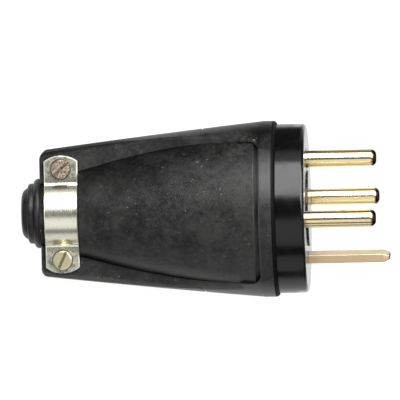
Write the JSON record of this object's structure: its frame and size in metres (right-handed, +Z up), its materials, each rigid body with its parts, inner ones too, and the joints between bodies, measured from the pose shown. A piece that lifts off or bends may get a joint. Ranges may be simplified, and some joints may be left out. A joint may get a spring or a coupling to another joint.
{
  "type": "power plug",
  "caption": "Tapered rubber power plug with round line pins and a flat earth blade on a round insulating carrier, and a screwed metal strap clamp over the cord entry.",
  "frame": {"origin": "on the table, under the middle of the lying plug's overall box", "axes": "+X along the table towards the pins, +Y across the plug towards clamp screw 1, +Z up"},
  "size_m": [0.1064, 0.051, 0.0513],
  "materials": {
    "housing_rubber": "moulded, dusty satin",
    "carrier_phenolic": "polished",
    "plate_laminate": "sawn and drilled",
    "pin_brass": "turned, slightly tarnished",
    "blade_brass": "matte, tarnished",
    "screw_steel": "yellow passivated",
    "strap_steel": "dull nickel plating"
  },
  "bodies": {
    "root": {"rubber_housing": "housing_rubber", "contact_carrier": "carrier_phenolic", "retaining_plate": "plate_laminate", "plate_screw": "screw_steel", "threaded_bush": "pin_brass", "line_pin_1": "pin_brass", "line_pin_2": "pin_brass", "line_pin_3": "pin_brass", "earth_blade": "blade_brass", "terminal_screw_1": "screw_steel", "terminal_screw_2": "screw_steel", "terminal_screw_3": "screw_steel", "earth_terminal_screw": "screw_steel", "clamp_washer_1": "strap_steel", "clamp_washer_2": "strap_steel", "clamp_washer_3": "strap_steel", "earth_clamp_washer": "strap_steel", "upper_strap": "strap_steel", "lower_strap": "strap_steel", "clamp_screw_1": "screw_steel", "clamp_screw_2": "screw_steel", "clamp_nut_1": "strap_steel", "clamp_nut_2": "strap_steel"}
  },
  "joints": []
}
